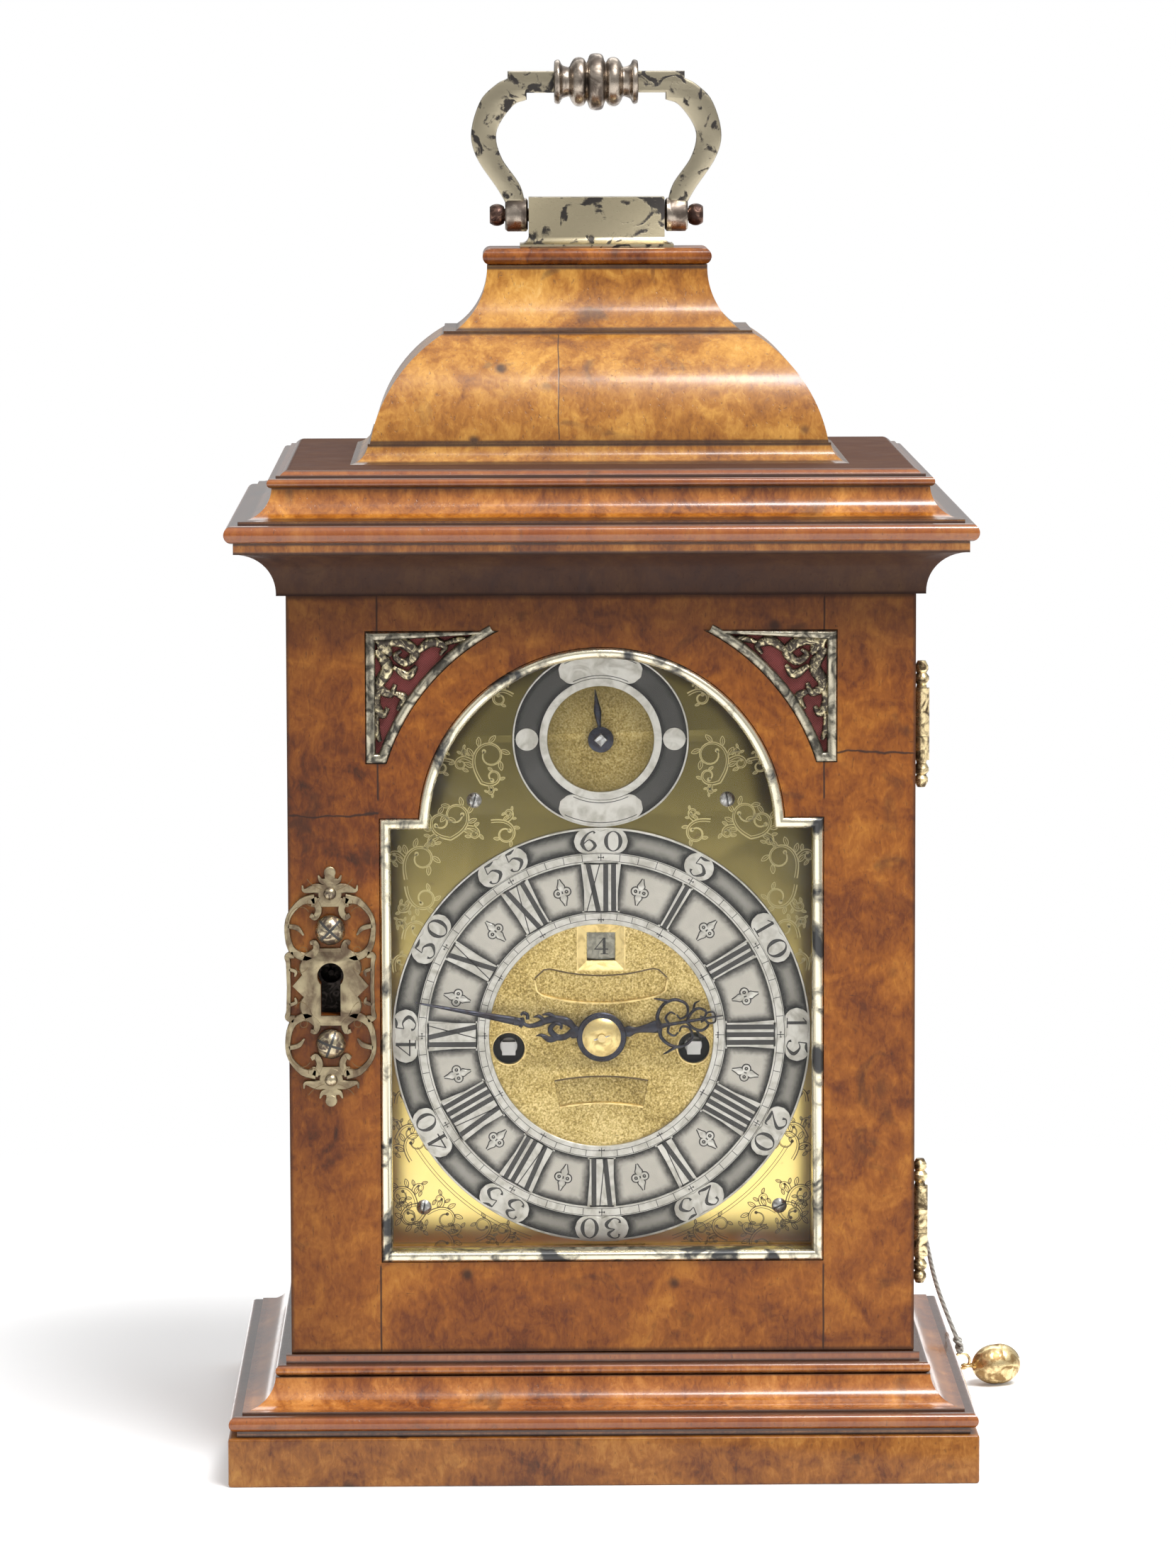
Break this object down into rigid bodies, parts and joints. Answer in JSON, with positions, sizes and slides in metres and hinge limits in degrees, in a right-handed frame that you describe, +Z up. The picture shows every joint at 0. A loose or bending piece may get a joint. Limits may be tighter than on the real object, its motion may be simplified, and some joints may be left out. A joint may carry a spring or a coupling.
{
  "type": "bracket clock",
  "caption": "Spring-driven table clock in a veneered break-arch case with inverted bell top, folding carrying handle, glazed hinged doors, brass dial and fusee movement.",
  "frame": {"origin": "middle of the plinth's underside, where the clock stands on its table", "axes": "+Z up, -Y to the front (the dial), +X to the viewer's right"},
  "size_m": [0.2479, 0.1842, 0.4234],
  "materials": {
    "case_veneer": "figured veneer, french polished",
    "moulding_wood": "cross-grain mouldings, french polished",
    "carcase_wood": "plain oak, waxed",
    "gilt_brass": "polished and lacquered",
    "movement_brass": "brushed",
    "silvered_brass": "silvered, fine grained",
    "blued_steel": "heat blued and polished",
    "bright_steel": "polished",
    "window_glass": "clear",
    "silk_cloth": "plain weave silk",
    "gut_line": "twisted gut",
    "braid_cord": "braided cord",
    "bell_metal": "cast and turned"
  },
  "bodies": {
    "case": {"back_plate": "movement_brass", "base_moulding": "moulding_wood", "base_plinth": "moulding_wood", "bell_stand": "bright_steel", "bell_top": "case_veneer", "carcase_side_left": "case_veneer", "carcase_side_right": "case_veneer", "case_hinges": "gilt_brass", "chapter_ring": "silvered_brass", "cord_bush": "gilt_brass", "cornice_moulding": "moulding_wood", "crotal_bell": "bell_metal", "dial_mask": "carcase_wood", "dial_plate": "gilt_brass", "dial_screws": "bright_steel", "front_plate": "movement_brass", "gut_lines": "gut_line", "handle_bracket": "gilt_brass", "handle_pivots": "gilt_brass", "hour_bell": "bell_metal", "lock_staple": "movement_brass", "movement_cocks": "movement_brass", "plate_pillars": "movement_brass", "repeat_cord": "braid_cord", "seat_board": "carcase_wood", "side_glasses": "window_glass", "strike_ring": "silvered_brass", "top_cap": "moulding_wood"},
    "front_door_leaf": {"front_door": "case_veneer", "door_arch_moulding": "gilt_brass", "door_glass": "window_glass", "door_frets": "gilt_brass", "fret_silk": "silk_cloth", "escutcheon": "gilt_brass", "escutcheon_screws": "gilt_brass", "door_lock": "bright_steel", "front_door_hinges": "gilt_brass"},
    "door_bolt": {"lock_bolt": "bright_steel"},
    "back_door_leaf": {"back_door": "case_veneer", "back_glass": "window_glass", "back_door_hinges": "gilt_brass"},
    "carrying_handle": {"handle": "gilt_brass"},
    "minute_work": {"centre_arbor": "movement_brass", "minute_hand": "blued_steel", "hand_collet": "gilt_brass"},
    "hour_work": {"hour_hand": "blued_steel", "hour_wheel": "movement_brass"},
    "date_disc": {"date_wheel": "silvered_brass"},
    "strike_lever": {"strike_hand": "blued_steel"},
    "contrate": {"contrate_wheel": "movement_brass"},
    "crown": {"crown_wheel": "movement_brass"},
    "verge": {"verge_pendulum": "bright_steel"},
    "going_winder": {"going_fusee": "movement_brass"},
    "going_driver": {"going_great_wheel": "movement_brass"},
    "going_spring_barrel": {"going_barrel": "movement_brass"},
    "strike_winder": {"strike_fusee": "movement_brass"},
    "strike_driver": {"strike_great_wheel": "movement_brass"},
    "strike_spring_barrel": {"strike_barrel": "movement_brass"},
    "striker": {"pin_wheel": "movement_brass"},
    "hammer_arm": {"hammer": "bright_steel"}
  },
  "joints": [
    {"name": "front_door_swing", "type": "hinge", "parent": "case", "child": "front_door_leaf", "pos_m": [0.0961, -0.05935, 0.1511], "axis": [0, 0, 1], "range_deg": [0, 110]},
    {"name": "door_bolt_throw", "type": "slide", "parent": "front_door_leaf", "child": "door_bolt", "axis": [0, 0, -1], "range_m": [0, 0.005]},
    {"name": "back_door_swing", "type": "hinge", "parent": "case", "child": "back_door_leaf", "pos_m": [0.0961, 0.06135, 0.1511], "axis": [0, 0, -1], "range_deg": [0, 110]},
    {"name": "handle_fold", "type": "hinge", "parent": "case", "child": "carrying_handle", "pos_m": [0, 0, 0.3754], "axis": [1, 0, 0], "range_deg": [-100, 100]},
    {"name": "minute_turn", "type": "hinge", "parent": "case", "child": "minute_work", "pos_m": [0, 0, 0.1307], "axis": [0, 1, 0], "continuous": true},
    {"name": "hour_turn", "type": "hinge", "parent": "case", "child": "hour_work", "pos_m": [0, 0, 0.1307], "axis": [0, 1, 0], "continuous": true},
    {"name": "date_turn", "type": "hinge", "parent": "case", "child": "date_disc", "pos_m": [0, 0, 0.1784], "axis": [0, 1, 0], "continuous": true},
    {"name": "strike_select", "type": "hinge", "parent": "case", "child": "strike_lever", "pos_m": [0, 0, 0.2204], "axis": [0, 1, 0], "range_deg": [0, 180]},
    {"name": "contrate_turn", "type": "hinge", "parent": "case", "child": "contrate", "pos_m": [0, 0, 0.1503], "axis": [0, 1, 0], "continuous": true},
    {"name": "crown_turn", "type": "hinge", "parent": "case", "child": "crown", "pos_m": [0, -0.0157, 0.17], "axis": [0, 0, 1], "continuous": true},
    {"name": "verge_swing", "type": "hinge", "parent": "case", "child": "verge", "pos_m": [0, 0, 0.1805], "axis": [0, 1, 0], "range_deg": [-10, 10]},
    {"name": "going_winding", "type": "hinge", "parent": "case", "child": "going_winder", "pos_m": [0.0279, 0, 0.1266], "axis": [0, 1, 0], "continuous": true},
    {"name": "going_wheel_turn", "type": "hinge", "parent": "case", "child": "going_driver", "pos_m": [0.0279, 0, 0.1266], "axis": [0, 1, 0], "continuous": true},
    {"name": "going_barrel_turn", "type": "hinge", "parent": "case", "child": "going_spring_barrel", "pos_m": [0.0315, 0, 0.094], "axis": [0, 1, 0], "continuous": true},
    {"name": "strike_winding", "type": "hinge", "parent": "case", "child": "strike_winder", "pos_m": [-0.0279, 0, 0.1266], "axis": [0, 1, 0], "continuous": true},
    {"name": "strike_wheel_turn", "type": "hinge", "parent": "case", "child": "strike_driver", "pos_m": [-0.0279, 0, 0.1266], "axis": [0, 1, 0], "continuous": true},
    {"name": "strike_barrel_turn", "type": "hinge", "parent": "case", "child": "strike_spring_barrel", "pos_m": [-0.0315, 0, 0.094], "axis": [0, 1, 0], "continuous": true},
    {"name": "pin_wheel_turn", "type": "hinge", "parent": "case", "child": "striker", "pos_m": [-0.0329, 0, 0.1514], "axis": [0, 1, 0], "continuous": true},
    {"name": "hammer_lift", "type": "hinge", "parent": "case", "child": "hammer_arm", "pos_m": [-0.038, 0, 0.194], "axis": [0, -1, 0], "range_deg": [0, 15]}
  ],
  "couplings": [
    {"joint": "hour_turn", "follows": "minute_turn", "ratio": 0.083333},
    {"joint": "going_wheel_turn", "follows": "minute_turn", "ratio": -0.1625},
    {"joint": "contrate_turn", "follows": "minute_turn", "ratio": -4.8485},
    {"joint": "crown_turn", "follows": "minute_turn", "ratio": -23.273},
    {"joint": "going_barrel_turn", "follows": "going_winding", "ratio": 0.66667},
    {"joint": "strike_barrel_turn", "follows": "strike_winding", "ratio": 0.66667},
    {"joint": "pin_wheel_turn", "follows": "strike_wheel_turn", "ratio": -7.3333}
  ]
}
